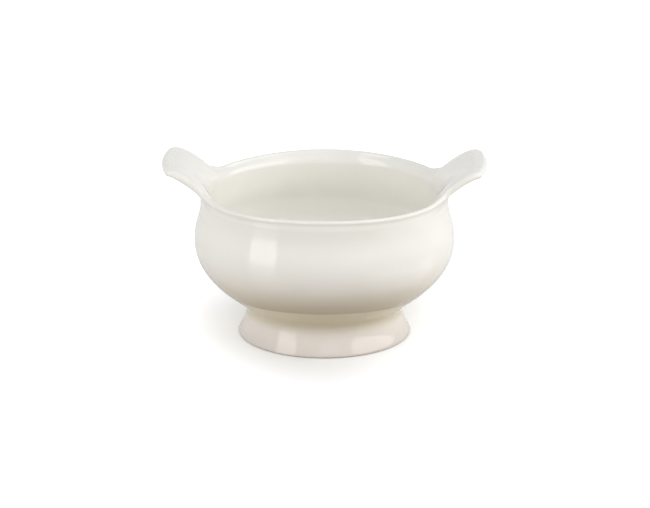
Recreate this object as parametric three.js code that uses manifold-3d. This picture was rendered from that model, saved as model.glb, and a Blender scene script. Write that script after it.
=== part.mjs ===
// A footed soup bowl of glazed stoneware with two flared ear handles, as a potter joins it:
// a bowl, a hollow pedestal foot and two ears, luted together with thin beds of slip.
// Millimetres, +Z up. The origin is the middle of the foot's standing face, and the ears lie along X.

import * as THREE from "three";
import { mergeVertices } from "three/addons/utils/BufferGeometryUtils.js";
import Module from "manifold-3d";

// Pedestal foot: its outside from the floor up, and the widths of its standing ring and of its seat
const FOOT_HEIGHT = 16.8;
const FOOT_BASE_RADIUS = 45.6;
const FOOT_WAIST_RADIUS = 41.2;
const FOOT_TOP_FLARE = 1.8;
const FOOT_BASE_ROUND = 0.6;
const FOOT_FILLET_HEIGHT = 3.6;
const FOOT_RING_WIDTH = 7.1;
const FOOT_SEAT_WIDTH = 8.5;

// Bowl: its belly and how far the neck draws in, heights measured from the foot's seat upwards,
// and how far the rim opens and dips on its way from the front to the ears
const BELLY_RADIUS = 68.5;
const NECK_INSET = 3.3;
const BOWL_HEIGHT = 63.5;
const BELLY_HEIGHT_SHARE = 0.545;
const RIM_ABOVE_NECK = 8.9;
const LIP_FLARE = 0.06;
const LIP_THICKNESS = 2.4;
const RIM_OPENING = 0.78;
const RIM_DIP = 0.88;
const RIM_OPENING_START = THREE.MathUtils.degToRad(38.5);
const WALL_THICKNESS = 4.8;
const FLOOR_THICKNESS = 6;
const BOSS_DEPTH = 5.4;
const FLANK_ANGLE = THREE.MathUtils.degToRad(36);

// Ear handles: reach past the belly, rise of the edge over the rim, and angles from the ear's middle,
// between which the edge falls back to the rim; a low web carries a share of it on to the root
const EAR_OVERHANG = 16.6;
const EAR_RISE = 14.1;
const EAR_THICKNESS = 4.4;
const EAR_TIP_SLOPE = THREE.MathUtils.degToRad(5);
const EAR_ROOT_ANGLE = THREE.MathUtils.degToRad(33);
const EAR_FLARE_START = THREE.MathUtils.degToRad(12.9);
const EAR_FLARE_END = THREE.MathUtils.degToRad(21.8);
const EAR_RISE_START = THREE.MathUtils.degToRad(14.5);
const EAR_RISE_END = THREE.MathUtils.degToRad(22.2);
const EAR_WEB_START = THREE.MathUtils.degToRad(10);
const EAR_WEB_FLARE_SHARE = 0.25;
const EAR_WEB_RISE_SHARE = 0.4;

// Joints: the slip beds, and the clearances of the pieces that they join
const SLIP_THICKNESS = 0.6;
const SLIP_INSET = 0.5;
const EAR_SEAT_ABOVE_NECK = 1.6;
const JOINT_CLEARANCE = 0.3;

// How far each curve is pulled along its end directions, as a share of the length that it spans
const FOOT_BASE_PULL = 0.35;
const FOOT_WAIST_PULL = 0.3;
const FOOT_FLARE_SHARE = 0.42;
const FLANK_PULL = 0.6;
const BELLY_PULL = 0.49;
const SHOULDER_PULL = 0.43;
const INSIDE_WALL_PULL = 0.65;
const INSIDE_FLOOR_PULL = 0.42;
const EAR_ROOT_PULL = 0.3;
const EAR_TIP_PULL = 0.33;

// Fineness of the facets
const LATHE_SEGMENTS = 64;
const BOWL_STEPS = 6;
const FOOT_STEPS = 4;
const EAR_SECTIONS = 60;
const EAR_SIDE_STEPS = 6;
const EAR_LIP_STEPS = 6;
const FLARE_HALVINGS = 40;

// Heights and radii that follow from the sizes above
const footTopRadius = FOOT_WAIST_RADIUS + FOOT_TOP_FLARE;
const footBoreRadius = footTopRadius - FOOT_SEAT_WIDTH;
const footMouthRadius = FOOT_BASE_RADIUS - FOOT_RING_WIDTH;
const seatZ = FOOT_HEIGHT + SLIP_THICKNESS;
const bellyZ = seatZ + BOWL_HEIGHT * BELLY_HEIGHT_SHARE;
const rimZ = seatZ + BOWL_HEIGHT;
const neckZ = rimZ - RIM_ABOVE_NECK;
const earSeatZ = neckZ + EAR_SEAT_ABOVE_NECK;
const neckRadius = BELLY_RADIUS - NECK_INSET;
const innerNeckRadius = neckRadius - WALL_THICKNESS;
const innerBellyRadius = BELLY_RADIUS - WALL_THICKNESS;
const earReach = BELLY_RADIUS + EAR_OVERHANG;
const lipRadius = LIP_THICKNESS / 2;
const lipMiddleRadius = neckRadius + LIP_FLARE - lipRadius;
const lipMiddleZ = rimZ - lipRadius;

const wasm = await Module();
wasm.setup();

const glaze = new THREE.MeshStandardMaterial({ color: "#efebe1", roughness: 0.12, metalness: 0 });
const slip = new THREE.MeshStandardMaterial({ color: "#cdbfa6", roughness: 0.9, metalness: 0 });

function namedMesh(name, geometry, material) {
  const mesh = new THREE.Mesh(geometry, material);
  mesh.name = name;
  return mesh;
}

// Turns a profile of radius against height about the Z axis, with so many steps to each of its curves.
function turned(profile, steps) {
  return new THREE.LatheGeometry(profile.getPoints(steps), LATHE_SEGMENTS).rotateX(Math.PI / 2);
}

// A geometry as a closed solid, with its shared corners merged.
function solidOf(geometry) {
  const corners = new THREE.BufferGeometry();
  corners.setAttribute("position", geometry.getAttribute("position"));
  corners.setIndex(geometry.index);
  const merged = mergeVertices(corners);
  return new wasm.Manifold(
    new wasm.Mesh({
      numProp: 3,
      vertProperties: merged.getAttribute("position").array,
      triVerts: new Uint32Array(merged.index.array),
    }),
  );
}

function geometryOf(solid) {
  const mesh = solid.getMesh();
  const geometry = new THREE.BufferGeometry();
  geometry.setAttribute("position", new THREE.BufferAttribute(mesh.vertProperties, 3));
  geometry.setIndex(new THREE.BufferAttribute(mesh.triVerts, 1));
  geometry.computeVertexNormals();
  return geometry;
}

// Falls smoothly from 1 at one angle from the middle of an ear to 0 at another, on either side.
function fall(angle, start, end) {
  const share = THREE.MathUtils.clamp((Math.abs(angle) - start) / (end - start), 0, 1);
  return (1 + Math.cos(Math.PI * share)) / 2;
}

// The hollow foot: a flared outside, a fillet under the bowl and a flat ring to stand on.
function pedestalFoot() {
  const filletZ = FOOT_HEIGHT - FOOT_FILLET_HEIGHT;
  const flareHeight = filletZ - FOOT_BASE_ROUND;
  const profile = new THREE.Path();
  profile.moveTo(footMouthRadius, 0);
  profile.lineTo(FOOT_BASE_RADIUS - FOOT_BASE_ROUND, 0);
  profile.quadraticCurveTo(FOOT_BASE_RADIUS, 0, FOOT_BASE_RADIUS, FOOT_BASE_ROUND);
  profile.bezierCurveTo(
    FOOT_BASE_RADIUS - (FOOT_BASE_RADIUS - FOOT_WAIST_RADIUS) * FOOT_FLARE_SHARE,
    FOOT_BASE_ROUND + flareHeight * FOOT_BASE_PULL,
    FOOT_WAIST_RADIUS,
    filletZ - flareHeight * FOOT_WAIST_PULL,
    FOOT_WAIST_RADIUS,
    filletZ,
  );
  profile.quadraticCurveTo(FOOT_WAIST_RADIUS, FOOT_HEIGHT, footTopRadius, FOOT_HEIGHT);
  profile.lineTo(footBoreRadius, FOOT_HEIGHT);
  profile.lineTo(footMouthRadius, 0);
  return turned(profile, FOOT_STEPS);
}

// The bed of slip between the foot's top and the seat under the bowl.
function footSlip() {
  const profile = new THREE.Path();
  profile.moveTo(footBoreRadius + SLIP_INSET, FOOT_HEIGHT);
  profile.lineTo(footTopRadius - SLIP_INSET, FOOT_HEIGHT);
  profile.lineTo(footTopRadius - SLIP_INSET, seatZ);
  profile.lineTo(footBoreRadius + SLIP_INSET, seatZ);
  profile.closePath();
  return turned(profile, FOOT_STEPS);
}

// The round bowl with its locating boss, seat, flank, belly, neck, rounded rim and inside.
function bowlProfile() {
  const bossRadius = footBoreRadius - JOINT_CLEARANCE;
  const bossZ = seatZ - BOSS_DEPTH;
  const floorZ = bossZ + FLOOR_THICKNESS;
  const flankReach = (BELLY_RADIUS - footTopRadius) * FLANK_PULL;
  const shoulderRise = (neckZ - bellyZ) * SHOULDER_PULL;
  const collarZ = (neckZ + lipMiddleZ) / 2;
  const profile = new THREE.Path();
  profile.moveTo(0, bossZ);
  profile.lineTo(bossRadius, bossZ);
  profile.lineTo(bossRadius, seatZ);
  profile.lineTo(footTopRadius, seatZ);
  profile.bezierCurveTo(
    footTopRadius + flankReach * Math.cos(FLANK_ANGLE),
    seatZ + flankReach * Math.sin(FLANK_ANGLE),
    BELLY_RADIUS,
    bellyZ - (bellyZ - seatZ) * BELLY_PULL,
    BELLY_RADIUS,
    bellyZ,
  );
  const shoulder = bellyZ + shoulderRise;
  const throat = neckZ - shoulderRise;
  profile.bezierCurveTo(BELLY_RADIUS, shoulder, neckRadius, throat, neckRadius, neckZ);
  profile.quadraticCurveTo(neckRadius, collarZ, lipMiddleRadius + lipRadius, lipMiddleZ);
  profile.absarc(lipMiddleRadius, lipMiddleZ, lipRadius, 0, Math.PI, false);
  profile.quadraticCurveTo(innerNeckRadius, collarZ, innerNeckRadius, neckZ);
  profile.bezierCurveTo(
    innerNeckRadius,
    neckZ - shoulderRise,
    innerBellyRadius,
    bellyZ + shoulderRise,
    innerBellyRadius,
    bellyZ,
  );
  profile.bezierCurveTo(
    innerBellyRadius,
    bellyZ - (bellyZ - floorZ) * INSIDE_WALL_PULL,
    innerBellyRadius * (1 - INSIDE_FLOOR_PULL),
    floorZ,
    0,
    floorZ,
  );
  return profile;
}

// The wedge of rim that is cut away to seat the ear at +X.
function earNotch() {
  const halfWidth = earReach * Math.tan(EAR_ROOT_ANGLE);
  const wedge = new THREE.Shape();
  wedge.moveTo(0, 0);
  wedge.lineTo(earReach, -halfWidth);
  wedge.lineTo(earReach, halfWidth);
  wedge.closePath();
  const depth = rimZ - earSeatZ + WALL_THICKNESS;
  return new THREE.ExtrudeGeometry(wedge, { depth, bevelEnabled: false }).translate(0, 0, earSeatZ);
}

// How far the rim has opened towards the nearer ear, as a share, at an angle from that ear's middle.
function rimOpening(angle) {
  return fall(angle, RIM_OPENING_START, Math.PI / 2);
}

// Eases the collar of the turned bowl outwards and down towards the ears.
function easeCollar(geometry) {
  const corners = geometry.getAttribute("position");
  for (let index = 0; index < corners.count; index += 1) {
    const corner = new THREE.Vector3().fromBufferAttribute(corners, index);
    const radius = Math.hypot(corner.x, corner.y);
    const share = THREE.MathUtils.smoothstep(corner.z, neckZ, rimZ);
    const opening = share * rimOpening(Math.atan2(corner.y, Math.abs(corner.x)));
    const wider = radius > 0 ? 1 + (RIM_OPENING * opening) / radius : 1;
    corners.setXYZ(index, corner.x * wider, corner.y * wider, corner.z - RIM_DIP * opening);
  }
  return geometry;
}

function bowl() {
  const notch = earNotch();
  const rightNotch = solidOf(notch);
  const leftNotch = solidOf(notch.rotateZ(Math.PI));
  const body = solidOf(easeCollar(turned(bowlProfile(), BOWL_STEPS)));
  return geometryOf(body.subtract(rightNotch).subtract(leftNotch));
}

// The bed of slip on a notch's flat floor, under the ear at +X.
function earSlip() {
  const inner = innerNeckRadius + SLIP_INSET;
  const outer = neckRadius - SLIP_INSET;
  const end = EAR_ROOT_ANGLE - (JOINT_CLEARANCE + SLIP_INSET) / inner;
  const bed = new THREE.Shape();
  bed.absarc(0, 0, outer, -end, end, false);
  bed.absarc(0, 0, inner, end, -end, true);
  bed.closePath();
  const shape = { depth: SLIP_THICKNESS, bevelEnabled: false, curveSegments: EAR_SECTIONS / 2 };
  return new THREE.ExtrudeGeometry(bed, shape).translate(0, 0, earSeatZ);
}

// How much of the web beside the tongue is left at an angle from the ear's middle.
function earWeb(angle) {
  return fall(angle, EAR_WEB_START, EAR_ROOT_ANGLE);
}

// How much of the ear's flare past the rim is left at an angle from its middle.
function earFlare(angle) {
  const tongue = fall(angle, EAR_FLARE_START, EAR_FLARE_END);
  return THREE.MathUtils.lerp(tongue, earWeb(angle), EAR_WEB_FLARE_SHARE);
}

// The middle of the ear's rounded edge at an angle from the ear's middle, as radius and height.
function earEdge(angle) {
  const tongue = fall(angle, EAR_RISE_START, EAR_RISE_END);
  const rise = EAR_RISE * THREE.MathUtils.lerp(tongue, earWeb(angle), EAR_WEB_RISE_SHARE);
  const rimRadius = lipMiddleRadius + RIM_OPENING * rimOpening(angle);
  return new THREE.Vector2(
    THREE.MathUtils.lerp(rimRadius, earReach - EAR_THICKNESS / 2, earFlare(angle)),
    lipMiddleZ - RIM_DIP * rimOpening(angle) + rise,
  );
}

// The curve along which the whole ear flares out of its seat, to the tip of its middle section.
function flareCurve() {
  const bottom = new THREE.Vector2(neckRadius - WALL_THICKNESS / 2, earSeatZ + SLIP_THICKNESS);
  const tip = earEdge(0);
  const reach = bottom.distanceTo(tip);
  const slope = new THREE.Vector2(Math.cos(EAR_TIP_SLOPE), Math.sin(EAR_TIP_SLOPE));
  return new THREE.CubicBezierCurve(
    bottom,
    new THREE.Vector2(bottom.x, bottom.y + reach * EAR_ROOT_PULL),
    tip.clone().addScaledVector(slope, -reach * EAR_TIP_PULL),
    tip,
  );
}

// How far along the flare curve its radius reaches a given radius.
function flareShare(curve, radius) {
  let low = 0;
  let high = 1;
  for (let halving = 0; halving < FLARE_HALVINGS; halving += 1) {
    const share = (low + high) / 2;
    if (curve.getPoint(share).x < radius) low = share;
    else high = share;
  }
  return high;
}

// How much longer the rounded edge is along a radius where the edge runs aslant.
function edgeSlant(angle) {
  const step = EAR_ROOT_ANGLE / EAR_SECTIONS;
  const before = earEdge(angle - step);
  const after = earEdge(angle + step);
  const run = 2 * step * earEdge(angle).x;
  return Math.hypot(1, before.distanceTo(after) / run);
}

// One radial section of the ear as a closed outline of radius against height: the flare curve up to
// the edge, with its inner face, the rounded edge, and the outer face down to the flat seat.
function earSection(angle) {
  const half = THREE.MathUtils.lerp(LIP_THICKNESS, EAR_THICKNESS, earWeb(angle)) / 2;
  const slant = edgeSlant(angle);
  const end = earEdge(angle);
  const flare = flareCurve();
  const trim = flareShare(flare, end.x);
  const miss = end.clone().sub(flare.getPoint(trim));
  const eased = (share) => THREE.MathUtils.smoothstep(share, 0, 1);
  const middle = (share) => flare.getPoint(trim * share).addScaledVector(miss, eased(share));
  const direction = (share) => middle(share).sub(middle(share - 1 / EAR_SECTIONS)).normalize();
  const outwards = direction(1);
  const inner = [new THREE.Vector2(innerNeckRadius, middle(0).y)];
  const outer = [new THREE.Vector2(neckRadius, middle(0).y)];
  for (let step = 1; step <= EAR_SIDE_STEPS; step += 1) {
    const share = step / EAR_SIDE_STEPS;
    const along = direction(share);
    const reach = THREE.MathUtils.lerp(WALL_THICKNESS / 2, half, eased(share));
    const offset = new THREE.Vector2(-along.y, along.x).multiplyScalar(reach);
    inner.push(middle(share).add(offset));
    outer.unshift(middle(share).sub(offset));
  }
  const lip = [];
  for (let step = 1; step < EAR_LIP_STEPS; step += 1) {
    const turn = (Math.PI * step) / EAR_LIP_STEPS;
    const across = new THREE.Vector2(-outwards.y, outwards.x).multiplyScalar(half * Math.cos(turn));
    lip.push(across.addScaledVector(outwards, half * slant * Math.sin(turn)).add(end));
  }
  return [...inner, ...lip, ...outer];
}

// Joins the ear's radial sections into one closed skin, with a flat cap at each end.
function ear() {
  const end = EAR_ROOT_ANGLE - JOINT_CLEARANCE / innerNeckRadius;
  const positions = [];
  const triangles = [];
  const count = earSection(0).length;
  for (let index = 0; index <= EAR_SECTIONS; index += 1) {
    const angle = THREE.MathUtils.lerp(-end, end, index / EAR_SECTIONS);
    for (const point of earSection(angle)) {
      positions.push(point.x * Math.cos(angle), point.x * Math.sin(angle), point.y);
    }
  }
  const corner = (section, point) => section * count + (point % count);
  for (let section = 0; section < EAR_SECTIONS; section += 1) {
    for (let point = 0; point < count; point += 1) {
      const [a, b] = [corner(section, point), corner(section, point + 1)];
      const [c, d] = [corner(section + 1, point), corner(section + 1, point + 1)];
      triangles.push(a, b, d, a, d, c);
    }
  }
  for (let low = 0, high = count - 1; high - low > 1; low += 1, high -= 1) {
    const [a, b, c, d] = [low, low + 1, high, high - 1].map((point) => corner(0, point));
    triangles.push(a, c, b);
    if (b !== d) triangles.push(b, c, d);
    const [e, f, g, h] = [low, low + 1, high, high - 1].map((point) => corner(EAR_SECTIONS, point));
    triangles.push(e, f, g);
    if (f !== h) triangles.push(f, h, g);
  }
  const geometry = new THREE.BufferGeometry();
  geometry.setAttribute("position", new THREE.Float32BufferAttribute(positions, 3));
  geometry.setIndex(triangles);
  geometry.computeVertexNormals();
  return geometry;
}

const soupBowl = new THREE.Group();
soupBowl.add(namedMesh("pedestal_foot", pedestalFoot(), glaze));
soupBowl.add(namedMesh("foot_slip", footSlip(), slip));
soupBowl.add(namedMesh("bowl", bowl(), glaze));

for (const [side, turn] of [["right", 0], ["left", Math.PI]]) {
  const handle = new THREE.Group();
  handle.rotation.z = turn;
  handle.add(namedMesh(`${side}_ear_slip`, earSlip(), slip));
  handle.add(namedMesh(`${side}_ear`, ear(), glaze));
  soupBowl.add(handle);
}

export default soupBowl;
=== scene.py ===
"""A footed soup bowl of glazed stoneware with two ear handles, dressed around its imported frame."""
import math

import bmesh
import bpy
from mathutils import Matrix, Vector
from mathutils.geometry import interpolate_bezier


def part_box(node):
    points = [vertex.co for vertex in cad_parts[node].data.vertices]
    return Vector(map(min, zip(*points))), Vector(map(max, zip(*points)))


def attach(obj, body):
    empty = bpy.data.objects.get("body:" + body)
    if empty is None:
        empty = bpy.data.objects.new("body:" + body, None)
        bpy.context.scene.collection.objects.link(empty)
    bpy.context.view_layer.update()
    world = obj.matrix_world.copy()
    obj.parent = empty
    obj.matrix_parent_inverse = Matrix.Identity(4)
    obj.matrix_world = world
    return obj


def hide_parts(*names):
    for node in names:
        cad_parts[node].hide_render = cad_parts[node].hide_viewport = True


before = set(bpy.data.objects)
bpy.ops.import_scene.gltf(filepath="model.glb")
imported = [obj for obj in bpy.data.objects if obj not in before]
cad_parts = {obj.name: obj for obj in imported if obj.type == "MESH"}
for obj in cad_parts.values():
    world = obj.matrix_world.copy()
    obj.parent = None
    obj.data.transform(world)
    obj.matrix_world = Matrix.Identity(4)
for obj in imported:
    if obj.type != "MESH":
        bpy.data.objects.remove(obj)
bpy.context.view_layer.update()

# Pedestal foot
# A flared ring of stoneware, turned on the wheel, hollow below and flat where it stands. It is luted
# under the bowl with slip while the clay is leather hard, and the joint is smoothed into a fillet.
foot_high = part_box("pedestal_foot")[1]
base_radius = foot_high.x
base_round = 0.0007
mouth_radius = 0.0385
mouth_handle_in = 0.0006
mouth_handle_height = 0.003
hollow_radius = 0.0356
hollow_height = 0.012
hollow_round = 0.0026
hollow_lean = 0.0004
hollow_handle_out = 0.001
hollow_handle_height = 0.007
waist_radius = 0.0412
waist_height = 0.0124
foot_rise = waist_height - base_round
foot_handle_in = 0.42 * (base_radius - waist_radius)
foot_handle_up = 0.36 * foot_rise
waist_handle_down = 0.3 * foot_rise


def at(radius, height):
    """A point of the pot's outline, at a radius from its axis and a height above the table."""
    return Vector((radius, 0, height))


def bend(outline, first_handle, second_handle, end, steps):
    """Carries an outline on from its last point along a curve with the two given handles."""
    outline.extend(interpolate_bezier(outline[-1], first_handle, second_handle, end, steps + 1)[1:])


def straight(outline, end, steps):
    """Carries an outline straight on from its last point, in even steps."""
    start = outline[-1]
    outline.extend([start.lerp(end, step / steps) for step in range(1, steps + 1)])


def round_off(outline, corner, end, steps):
    """Carries an outline on round a corner, without reaching it."""
    bend(outline, outline[-1].lerp(corner, 0.5), corner.lerp(end, 0.5), end, steps)


# From the middle of the underside, down the hollow and round the standing ring
outline = [at(0, hollow_height)]
straight(outline, at(hollow_radius - hollow_round, hollow_height), steps=8)
bend(
    outline,
    at(hollow_radius - hollow_round / 2, hollow_height),
    at(hollow_radius, hollow_height - hollow_round / 2),
    at(hollow_radius + hollow_lean, hollow_height - hollow_round),
    steps=6,
)
hollow_joint = len(outline) - 1
bend(
    outline,
    at(hollow_radius + hollow_handle_out, hollow_handle_height),
    at(mouth_radius - mouth_handle_in, mouth_handle_height),
    at(mouth_radius, base_round),
    steps=6,
)
round_off(outline, at(mouth_radius, 0), at(mouth_radius + base_round, 0), steps=4)
straight(outline, at(base_radius - base_round, 0), steps=3)
round_off(outline, at(base_radius, 0), at(base_radius, base_round), steps=5)

# Up the flared outside to the waist
bend(
    outline,
    at(base_radius - foot_handle_in, base_round + foot_handle_up),
    at(waist_radius, waist_height - waist_handle_down),
    at(waist_radius, waist_height),
    steps=16,
)

# Bowl
# A round shell of stoneware, pressed in a mould, with a full belly, a slight neck and a thin lip. Foot,
# bowl and ears are fired as one, so their outline is spun here as one skin and parted further down.
bowl_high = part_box("bowl")[1]
wall = 0.0048
flank_start = at(0.0449, 0.0187)
flank_angle = math.radians(37.5)
flank_heading = at(math.cos(flank_angle), math.sin(flank_angle))
flank_handle = 0.0135
fillet_handle_up = 0.003
fillet_handle_back = 0.0028
fillet_steps = 12
belly_radius = bowl_high.y
belly_height = 0.052
belly_handle_down = 0.0165
belly_handle_up = 0.0088
neck_radius = 0.0652
neck_height = 0.072
neck_handle_down = 0.008
seat_height = 0.0736
rim_height = bowl_high.z
lip_height = rim_height - wall / 2
lip_steps = 16
wall_middle = neck_radius - wall / 2
collar_handle = 0.001
collar_steps = 20
inner_neck = neck_radius - wall
inner_neck_handle_down = 0.013
inner_belly = belly_radius - wall
inner_belly_handle_up = 0.005
well_handle_height = 0.03
floor_height = 0.018
floor_handle = 0.58 * inner_belly

# Through the filleted joint and along the flank to the belly
bend(
    outline,
    at(waist_radius, waist_height + fillet_handle_up),
    flank_start - fillet_handle_back * flank_heading,
    flank_start,
    fillet_steps,
)
foot_joint = len(outline) - 1 - fillet_steps // 2
bend(
    outline,
    flank_start + flank_handle * flank_heading,
    at(belly_radius, belly_height - belly_handle_down),
    at(belly_radius, belly_height),
    steps=28,
)

# Over the shoulder to the neck, up the collar and round the lip
bend(
    outline,
    at(belly_radius, belly_height + belly_handle_up),
    at(neck_radius, neck_height - neck_handle_down),
    at(neck_radius, neck_height),
    steps=18,
)
straight(outline, at(neck_radius, seat_height), steps=2)
outer_seat = len(outline) - 1
bend(
    outline,
    at(neck_radius, seat_height + collar_handle),
    at(neck_radius, lip_height - collar_handle),
    at(neck_radius, lip_height),
    collar_steps,
)
for step in range(1, lip_steps + 1):
    turn = math.pi * step / lip_steps
    outline.append(at(wall_middle + wall / 2 * math.cos(turn), lip_height + wall / 2 * math.sin(turn)))

# Down the inside of the collar, along the belly and across the floor to its middle
bend(
    outline,
    at(inner_neck, lip_height - collar_handle),
    at(inner_neck, seat_height + collar_handle),
    at(inner_neck, seat_height),
    collar_steps,
)
inner_seat = len(outline) - 1
straight(outline, at(inner_neck, neck_height), steps=2)
bend(
    outline,
    at(inner_neck, neck_height - inner_neck_handle_down),
    at(inner_belly, belly_height + inner_belly_handle_up),
    at(inner_belly, belly_height),
    steps=14,
)
bend(
    outline,
    at(inner_belly, well_handle_height),
    at(floor_handle, floor_height),
    at(0, floor_height),
    steps=36,
)

# The outline is spun through one ear, in closer steps, and one side, and this half is doubled
ear_root = math.radians(33)
ear_sweep = 2 * ear_root
ear_steps = 160
side_steps = 80
weld = 1e-6
skin = bmesh.new()
row_of = skin.verts.layers.int.new("row")
strand = [skin.verts.new(Matrix.Rotation(-ear_root, 3, "Z") @ point) for point in outline]
for row, vert in enumerate(strand):
    vert[row_of] = row
strand += [skin.edges.new(pair) for pair in zip(strand, strand[1:])]
for sweep, steps in ((ear_sweep, ear_steps), (math.pi - ear_sweep, side_steps)):
    spun = bmesh.ops.spin(
        skin,
        geom=strand,
        cent=(0, 0, 0),
        axis=(0, 0, 1),
        angle=sweep,
        steps=steps,
        use_merge=False,
    )
    strand = spun["geom_last"]
half = bmesh.ops.duplicate(skin, geom=skin.verts[:] + skin.edges[:] + skin.faces[:])["geom"]
half = [element for element in half if isinstance(element, bmesh.types.BMVert)]
bmesh.ops.rotate(skin, verts=half, cent=(0, 0, 0), matrix=Matrix.Rotation(math.pi, 3, "Z"))
bmesh.ops.remove_doubles(skin, verts=skin.verts, dist=weld)
bmesh.ops.recalc_face_normals(skin, faces=skin.faces)

# Ears
# Each ear is pressed from a slab of stoneware and luted into the rim. It rises and flares out of the
# collar as a blunt tongue with a rounded edge, and its top is combed with shallow flutes near the tip.
ear_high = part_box("right_ear")[1]
ear_thickness = 0.0044
ear_reach = ear_high.x - ear_thickness / 2
ear_rise = 0.0141
ear_tip_slope = math.radians(5)
flare_start, flare_end = math.radians(12.9), math.radians(21.8)
rise_start, rise_end = math.radians(14.5), math.radians(22.2)
web_start = math.radians(10)
web_flare, web_rise = 0.25, 0.4
lip_lean = 0.00126
lip_thickness = 0.0024
rim_opening = 0.00078
rim_dip = 0.00088
opening_start = math.radians(38.5)
flare_root_share = 0.3
flare_tip_share = 0.33
flare_points = 400
flute_pitch = 0.0036
flute_spread = 0.0125
flute_depth = 0.00025
flute_full, flute_end = 0.001, 0.008


def fall(angle, start, end):
    """Falls smoothly from 1 at one angle or distance from the middle of an ear to 0 at another."""
    share = min(max((abs(angle) - start) / (end - start), 0), 1)
    return (1 + math.cos(math.pi * share)) / 2


def with_web(tongue, angle, web):
    """A share of the ear's tongue, with the low web that joins it to the rim on both sides."""
    return tongue * (1 - web) + fall(angle, web_start, ear_root) * web


def edge_at(angle):
    """The middle of the rim's rounded edge, at an angle from the middle of the nearer ear."""
    flare = with_web(fall(angle, flare_start, flare_end), angle, web_flare)
    rise = with_web(fall(angle, rise_start, rise_end), angle, web_rise)
    opening = fall(angle, opening_start, math.pi / 2)
    rim = wall_middle + lip_lean + rim_opening * opening
    height = rim_height - lip_thickness / 2 - rim_dip * opening + ear_rise * rise
    return at(rim + (ear_reach - rim) * flare, height)


# The curve along which collar and ears flare out of the neck, as far as the tip of an ear
flare_root = at(wall_middle, seat_height)
flare_tip = edge_at(0)
flare_length = (flare_tip - flare_root).length
tip_heading = at(math.cos(ear_tip_slope), math.sin(ear_tip_slope))
flare_curve = interpolate_bezier(
    flare_root,
    flare_root + at(0, flare_root_share * flare_length),
    flare_tip - tip_heading * flare_tip_share * flare_length,
    flare_tip,
    flare_points,
)


def on_flare(share):
    """A point of the flare curve, at a share of its run."""
    place = min(max(share, 0), 1) * (len(flare_curve) - 1)
    step = min(int(place), len(flare_curve) - 2)
    return flare_curve[step].lerp(flare_curve[step + 1], place - step)


def edge_slant(angle):
    """How much longer the rim's edge is at an angle than it would be if it ran level and round."""
    swing = 0.01
    climb = (edge_at(angle + swing) - edge_at(angle - swing)).length
    return math.hypot(1, climb / (2 * swing * edge_at(angle).x))


def fluted(angle, radius, edge_radius):
    """How far a flute lifts the top of an ear, or sinks it, at a radius within the ear's edge."""
    off_middle = radius * math.sin(angle)
    comb = math.cos(2 * math.pi * off_middle / flute_pitch)
    across_ear = fall(off_middle, flute_spread, flute_spread + flute_pitch)
    along_ear = fall(edge_radius - radius, flute_full, flute_end)
    return flute_depth * comb * across_ear * along_ear


def pulled(angle, point):
    """Carries a point of the plain collar to its place on the flared rim, within its radial plane."""
    half = (lip_thickness + (ear_thickness - lip_thickness) * fall(angle, web_start, ear_root)) / 2
    end = edge_at(angle)
    nearest = min(range(len(flare_curve)), key=lambda step: abs(flare_curve[step].x - end.x))
    trim = nearest / (len(flare_curve) - 1)
    miss = end - on_flare(trim)
    share = min((point.z - seat_height) / (lip_height - seat_height), 1)
    eased = share * share * (3 - 2 * share)
    middle = on_flare(trim * share) + miss * eased
    just_below = 0.02
    along = at(0, 1)
    if share >= just_below:
        slope_of_miss = 6 * just_below * share * (1 - share)
        along = on_flare(trim * share) - on_flare(trim * (share - just_below)) + miss * slope_of_miss
    along.normalize()
    across = at(-along.z, along.x)
    if point.z >= lip_height:
        turn = math.pi - math.atan2(point.z - lip_height, point.x - wall_middle)
        return end + across * half * math.cos(turn) + along * half * edge_slant(angle) * math.sin(turn)
    side = (wall_middle - point.x) / (wall / 2)
    thinning = eased if side > 0 else eased * eased
    offset = across * side * (wall / 2 + (half - wall / 2) * thinning)
    if side > 0:
        offset += across * fluted(angle, middle.x, end.x)
    return middle + offset


for vert in skin.verts:
    angle = math.atan2(vert.co.y, vert.co.x)
    heading = 0 if abs(angle) < math.pi / 2 else math.pi
    swing = math.remainder(angle - heading, 2 * math.pi)
    if outer_seat < vert[row_of] < inner_seat:
        place = pulled(swing, at(vert.co.xy.length, vert.co.z))
        vert.co = Matrix.Rotation(angle, 3, "Z") @ place

# Glaze
# One glossy coat of ivory glaze covers the whole pot and is fired onto it. Its colour changes with the
# height, and most of that change is painted light: greyer at the foot, with painted contact shade at the
# standing edge; yellow above it, where an olive band at the joint is part pooled glaze and part painted
# shade, and a bright band is a painted reflection of the lit foot; a dark line low on the flank that
# sinks towards the ears, which is a painted reflection of the foot's edge and its contact shadow;
# painted shade up the lower flank; and a lighter painted tone over the whole inside.
# How far the painted reflection line on the flank, and the painted tones around it, sink towards the
# ears, fading in between two heights above the foot.
painted_line_dip = 0.0063
dip_start, dip_full = 0.008, 0.016
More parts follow.
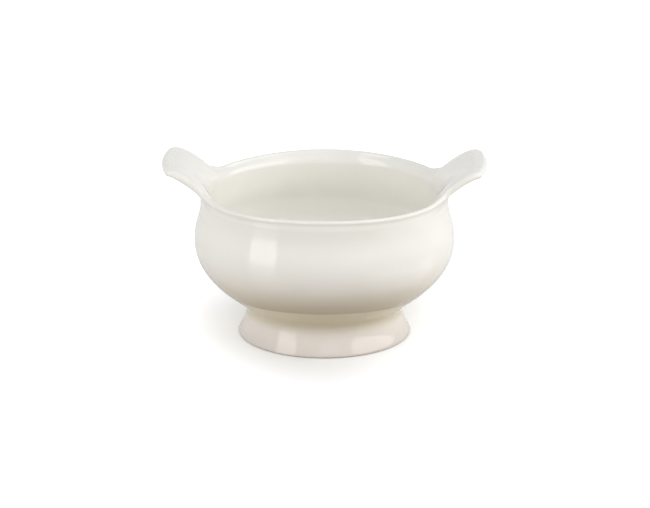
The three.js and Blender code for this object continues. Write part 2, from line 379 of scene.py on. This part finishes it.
# Stops of height and colour. The plain ivory from 0.052 to 0.076 is the glaze; the darkest base stop is
# painted contact shade, the olive stop at 0.0156 is part pooled glaze and part painted shade, the bright
# yellow stops and the dark stop at 0.0287 are a painted reflection of the foot and its edge, the stops
# up to 0.052 are painted shade on the lower flank, and the last stop is a lighter painted tone for the
# inside.
glaze_and_painted_light_tones = (
    (0.0, (0.72, 0.67, 0.62)),
    (0.002, (0.815, 0.76, 0.71)),
    (0.007, (0.885, 0.83, 0.785)),
    (0.011, (0.92, 0.855, 0.80)),
    (0.0156, (0.855, 0.80, 0.65)),
    (0.021, (0.91, 0.875, 0.66)),
    (0.0277, (0.94, 0.91, 0.69)),
    (0.0287, (0.69, 0.60, 0.45)),
    (0.035, (0.785, 0.73, 0.61)),
    (0.043, (0.86, 0.83, 0.775)),
    (0.052, (0.89, 0.883, 0.845)),
    (0.076, (0.89, 0.883, 0.845)),
    (0.08, (0.925, 0.91, 0.862)),
)
highest_tone = glaze_and_painted_light_tones[-1][0]
mottle_dark = (0.965, 0.96, 0.945, 1)
mottle_light = (1, 1, 1, 1)

# The height that a point's tone is taken at: its own outside, raised towards the ears so that the
# painted reflection line sinks there, and the highest one inside, so that the whole inside takes the
# lighter painted tone
tone_and_painted_shade_height = skin.verts.layers.float.new("tone_and_painted_shade_height")
for vert in skin.verts:
    if vert[row_of] < outer_seat:
        sideways = 1 - abs(math.sin(math.atan2(vert.co.y, vert.co.x)))
        above_foot = min(max((vert.co.z - dip_start) / (dip_full - dip_start), 0), 1)
        vert[tone_and_painted_shade_height] = vert.co.z + painted_line_dip * sideways * above_foot
    else:
        inside = min(max((vert[row_of] - inner_seat) / collar_steps + 1, 0), 1)
        vert[tone_and_painted_shade_height] = seat_height + (rim_height - seat_height) * inside


def new_material(name):
    """An empty node material, with its nodes, links and principled shader."""
    material = bpy.data.materials.new(name)
    material.use_nodes = True
    nodes = material.node_tree.nodes
    return material, nodes, material.node_tree.links, nodes["Principled BSDF"]


glaze, nodes, links, shader = new_material("ivory_glaze")
where = nodes.new("ShaderNodeTexCoord")
mottle = nodes.new("ShaderNodeTexNoise")
mottle.inputs["Scale"].default_value = 55
mottle.inputs["Detail"].default_value = 4
cloud = nodes.new("ShaderNodeValToRGB")
cloud.color_ramp.elements[0].color = mottle_dark
cloud.color_ramp.elements[1].color = mottle_light
links.new(where.outputs["Object"], mottle.inputs["Vector"])
links.new(mottle.outputs["Fac"], cloud.inputs["Fac"])
height = nodes.new("ShaderNodeAttribute")
height.attribute_name = "tone_and_painted_shade_height"
# Colour by height from the stops above, mostly painted light: painted contact shade, painted shade at
# the joint and on the lower flank, a painted reflection of the foot, and a lighter painted inside.
pooling_and_painted_shade = nodes.new("ShaderNodeValToRGB")
while len(pooling_and_painted_shade.color_ramp.elements) < len(glaze_and_painted_light_tones):
    pooling_and_painted_shade.color_ramp.elements.new(1)
for element, (level, colour) in zip(pooling_and_painted_shade.color_ramp.elements, glaze_and_painted_light_tones):
    element.position = level / highest_tone
    element.color = (*colour, 1)
depth = nodes.new("ShaderNodeMapRange")
depth.inputs["From Max"].default_value = highest_tone
links.new(height.outputs["Fac"], depth.inputs["Value"])
links.new(depth.outputs["Result"], pooling_and_painted_shade.inputs["Fac"])
tone = nodes.new("ShaderNodeMix")
tone.data_type = "RGBA"
tone.blend_type = "MULTIPLY"
tone.inputs["Factor"].default_value = 1
links.new(pooling_and_painted_shade.outputs["Color"], tone.inputs["A"])
links.new(cloud.outputs["Color"], tone.inputs["B"])
links.new(tone.outputs["Result"], shader.inputs["Base Color"])
ripple = nodes.new("ShaderNodeTexNoise")
ripple.inputs["Scale"].default_value = 160
ripple.inputs["Detail"].default_value = 2
bump = nodes.new("ShaderNodeBump")
bump.inputs["Strength"].default_value = 0.03
bump.inputs["Distance"].default_value = 0.0005
links.new(where.outputs["Object"], ripple.inputs["Vector"])
links.new(ripple.outputs["Fac"], bump.inputs["Height"])
links.new(bump.outputs["Normal"], shader.inputs["Normal"])
gloss = nodes.new("ShaderNodeMapRange")
gloss.inputs["To Min"].default_value = 0.03
gloss.inputs["To Max"].default_value = 0.08
links.new(mottle.outputs["Fac"], gloss.inputs["Value"])
links.new(gloss.outputs["Result"], shader.inputs["Roughness"])
shader.inputs["IOR"].default_value = 1.52

# Foot, bowl and ears parted
# The fired pot is taken apart along its luted joints into the pieces that were joined with slip. Each is
# closed at its joints, and keeps the shading of the whole skin, so that no seam shows in the glaze.
foot_rows = {hollow_joint, foot_joint}
ear_rows = {outer_seat, inner_seat}
parts = ["bowl_body", "foot_ring", "ear_right", "ear_left"]
skin.normal_update()
normal_of = skin.verts.layers.float_vector.new("skin_normal")
for vert in skin.verts:
    vert[normal_of] = vert.normal
for face in skin.faces:
    row = min(vert[row_of] for vert in face.verts)
    middle = face.calc_center_median()
    angle = math.atan2(middle.y, middle.x)
    part = "bowl_body"
    if hollow_joint <= row < foot_joint:
        part = "foot_ring"
    elif outer_seat <= row < inner_seat and abs(angle) < ear_root:
        part = "ear_right"
    elif outer_seat <= row < inner_seat and abs(angle) > math.pi - ear_root:
        part = "ear_left"
    face.material_index = parts.index(part)


def part_off(part):
    """Parts one piece off the skin, closes it at its joints and keeps the skin's own normals on it."""
    piece = skin.copy()
    number = parts.index(part)
    others = [face for face in piece.faces if face.material_index != number]
    bmesh.ops.delete(piece, geom=others, context="FACES")
    piece_row = piece.verts.layers.int["row"]
    piece_normal = piece.verts.layers.float_vector["skin_normal"]
    open_edges = [edge for edge in piece.edges if edge.is_boundary]
    for rows, heading in ((foot_rows, 0), (ear_rows, 1), (ear_rows, -1)):
        joint = []
        for edge in open_edges:
            in_rows = {vert[piece_row] for vert in edge.verts} <= rows
            if in_rows and edge.verts[0].co.x * heading >= 0:
                joint.append(edge)
        if joint:
            bmesh.ops.bridge_loops(piece, edges=joint)
    bmesh.ops.holes_fill(piece, edges=[edge for edge in piece.edges if edge.is_boundary], sides=0)
    bmesh.ops.recalc_face_normals(piece, faces=piece.faces)
    for face in piece.faces:
        face.smooth = True
        face.material_index = 0
    normals = [vert[piece_normal] for vert in piece.verts]
    mesh = bpy.data.meshes.new(part)
    piece.to_mesh(mesh)
    piece.free()
    mesh.normals_split_custom_set_from_vertices(normals)
    mesh.materials.append(glaze)
    made = bpy.data.objects.new(part, mesh)
    bpy.context.scene.collection.objects.link(made)
    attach(made, "root")
    return made


foot = part_off("foot_ring")
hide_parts("pedestal_foot", "foot_slip")
bowl = part_off("bowl_body")
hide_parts("bowl")
right_ear = part_off("ear_right")
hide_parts("right_ear", "right_ear_slip")
left_ear = part_off("ear_left")
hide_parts("left_ear", "left_ear_slip")
skin.free()

# Floor
# A plain sweep of white card under the bowl, with the bowl's shadow on it, deepened by painted shadow
# where its white glow fades near the bowl and in front of it. The light that it throws back is a painted
# warm colour, with painted shade that makes it weaker under the bowl and in front of it than at the
# sides.
floor_size = 3
card_white = (0.97, 0.98, 1, 1)
glow_white = (1, 1, 1, 1)
# The glow stretches faster sideways than in front, so the painted shadow reaches further in front; the
# thrown-back colour goes from painted shade along the middle to open light at the sides.
shadow_stretch = (2.2, 1, 1)
sideways_only = (1, 0, 0)
shaded_bounce = (0.34, 0.29, 0.24, 1)
shaded_reach = 0.045
open_bounce = (0.95, 0.9, 0.83, 1)
open_reach = 0.12


def white_where_seen(nodes, links):
    """One for what the camera sees, straight or in the glaze, and zero for scattered light."""
    path = nodes.new("ShaderNodeLightPath")
    either = nodes.new("ShaderNodeMath")
    links.new(path.outputs["Is Camera Ray"], either.inputs[0])
    links.new(path.outputs["Is Glossy Ray"], either.inputs[1])
    seen = nodes.new("ShaderNodeMath")
    seen.use_clamp = True
    links.new(either.outputs["Value"], seen.inputs[0])
    links.new(path.outputs["Is Transmission Ray"], seen.inputs[1])
    return seen


def distance_along(where, scale, nodes, links):
    """The distance from the middle of the floor, with each axis stretched by its own scale."""
    stretched = nodes.new("ShaderNodeVectorMath")
    stretched.operation = "MULTIPLY"
    stretched.inputs[1].default_value = scale
    links.new(where.outputs["Object"], stretched.inputs[0])
    away = nodes.new("ShaderNodeVectorMath")
    away.operation = "LENGTH"
    links.new(stretched.outputs["Vector"], away.inputs[0])
    return away


floor_mesh = bmesh.new()
bmesh.ops.create_grid(floor_mesh, x_segments=1, y_segments=1, size=floor_size)
mesh = bpy.data.meshes.new("floor")
floor_mesh.to_mesh(mesh)
floor_mesh.free()
floor = bpy.data.objects.new("floor", mesh)
bpy.context.scene.collection.objects.link(floor)
card, nodes, links, shader = new_material("white_card")
shader.inputs["Base Color"].default_value = card_white
shader.inputs["Roughness"].default_value = 0.9
shader.inputs["Specular IOR Level"].default_value = 0
shader.inputs["Coat IOR"].default_value = 2.2
shader.inputs["Coat Roughness"].default_value = 0.04
shader.inputs["Emission Color"].default_value = glow_white
bounce = nodes.new("ShaderNodeBsdfDiffuse")
seen = white_where_seen(nodes, links)
path = nodes.new("ShaderNodeLightPath")
links.new(path.outputs["Is Glossy Ray"], shader.inputs["Coat Weight"])
where = nodes.new("ShaderNodeTexCoord")
away = distance_along(where, shadow_stretch, nodes, links)
# The card glows to white for the camera, weakest near the bowl and in front of it: a painted shadow on
# top of the real one.
glow_with_painted_shadow = nodes.new("ShaderNodeMapRange")
glow_with_painted_shadow.inputs["From Min"].default_value = 0.055
glow_with_painted_shadow.inputs["From Max"].default_value = 0.16
glow_with_painted_shadow.inputs["To Min"].default_value = 0.04
glow_with_painted_shadow.inputs["To Max"].default_value = 0.5
links.new(away.outputs["Value"], glow_with_painted_shadow.inputs["Value"])
aside = distance_along(where, sideways_only, nodes, links)
# The colour that the card throws back is painted: dark and warm along the middle, under and in front of
# the bowl, as painted shade, and light at the sides.
warm_bounce_painted_shade = nodes.new("ShaderNodeValToRGB")
warm_bounce_painted_shade.color_ramp.elements[0].position = shaded_reach
warm_bounce_painted_shade.color_ramp.elements[0].color = shaded_bounce
warm_bounce_painted_shade.color_ramp.elements[1].position = open_reach
warm_bounce_painted_shade.color_ramp.elements[1].color = open_bounce
links.new(aside.outputs["Value"], warm_bounce_painted_shade.inputs["Fac"])
links.new(warm_bounce_painted_shade.outputs["Color"], bounce.inputs["Color"])
shown = nodes.new("ShaderNodeMath")
shown.operation = "MULTIPLY"
links.new(glow_with_painted_shadow.outputs["Result"], shown.inputs[0])
links.new(path.outputs["Is Camera Ray"], shown.inputs[1])
links.new(shown.outputs["Value"], shader.inputs["Emission Strength"])
choice = nodes.new("ShaderNodeMixShader")
links.new(seen.outputs["Value"], choice.inputs["Fac"])
links.new(bounce.outputs["BSDF"], choice.inputs[1])
links.new(shader.outputs["BSDF"], choice.inputs[2])
links.new(choice.outputs["Shader"], nodes["Material Output"].inputs["Surface"])
mesh.materials.append(card)

# Studio light
# A tall softbox stands left of the camera, a wide one on the right, and a large soft panel hangs high in
# front. The white room around them fills the shadows, more from the horizon than from overhead.
lit_height = 0.045
horizon_light = 0.655
overhead_light = 0.34


def bearing_of(azimuth, elevation):
    """The way from the bowl to a lamp or camera, by its degrees from the front and above the table."""
    turn, tilt = math.radians(azimuth), math.radians(elevation)
    return Vector((math.sin(turn) * math.cos(tilt), -math.cos(turn) * math.cos(tilt), math.sin(tilt)))


def softbox(name, azimuth, elevation, distance, size, strength):
    """A rectangular lamp that faces the bowl, placed by its bearing from the camera's side."""
    lamp = bpy.data.lights.new(name, "AREA")
    lamp.shape = "RECTANGLE"
    lamp.size, lamp.size_y = size
    lamp.energy = strength * math.pi * size[0] * size[1]
    held = bpy.data.objects.new(name, lamp)
    bearing = bearing_of(azimuth, elevation)
    held.location = Vector((0, 0, lit_height)) + distance * bearing
    held.rotation_euler = bearing.to_track_quat("Z", "Y").to_euler()
    held.visible_camera = False
    bpy.context.scene.collection.objects.link(held)


softbox("left_softbox", azimuth=-53, elevation=21, distance=1.3, size=(0.6, 1.2), strength=2.35)
softbox("right_softbox", azimuth=78, elevation=28, distance=1.4, size=(1.8, 0.8), strength=2.1)
softbox("high_panel", azimuth=28, elevation=52, distance=1.6, size=(1.8, 1.3), strength=0.65)

world = bpy.data.worlds.new("studio")
bpy.context.scene.world = world
world.use_nodes = True
nodes, links = world.node_tree.nodes, world.node_tree.links
room = nodes["Background"]
room.inputs["Color"].default_value = (1, 1, 1, 1)
seen = white_where_seen(nodes, links)
level = nodes.new("ShaderNodeMapRange")
level.inputs["To Max"].default_value = 1
links.new(seen.outputs["Value"], level.inputs["Value"])
sky = nodes.new("ShaderNodeTexCoord")
upright = nodes.new("ShaderNodeSeparateXYZ")
links.new(sky.outputs["Generated"], upright.inputs["Vector"])
ceiling = nodes.new("ShaderNodeMapRange")
ceiling.inputs["To Min"].default_value = horizon_light
ceiling.inputs["To Max"].default_value = overhead_light
links.new(upright.outputs["Z"], ceiling.inputs["Value"])
links.new(ceiling.outputs["Result"], level.inputs["To Min"])
links.new(level.outputs["Result"], room.inputs["Strength"])

# Camera
# A long lens at the photograph's height, a little right of the front, and aimed just under the middle of
# the bowl. It is far enough away that the rim and the foot keep their photographed ellipses.
photo_width = 650
camera_distance = 2.0
pixels_per_metre = 1893.8
aim = Vector((0.0003, 0, 0.0423))
lens = bpy.data.cameras.new("camera")
lens.sensor_width = 36
lens.lens = pixels_per_metre * camera_distance * lens.sensor_width / photo_width
camera = bpy.data.objects.new("camera", lens)
bearing = bearing_of(azimuth=1.5, elevation=18.25)
camera.location = aim + camera_distance * bearing
camera.rotation_euler = bearing.to_track_quat("Z", "Y").to_euler()
bpy.context.scene.collection.objects.link(camera)
bpy.context.scene.camera = camera
bpy.context.scene.view_settings.view_transform = "Standard"
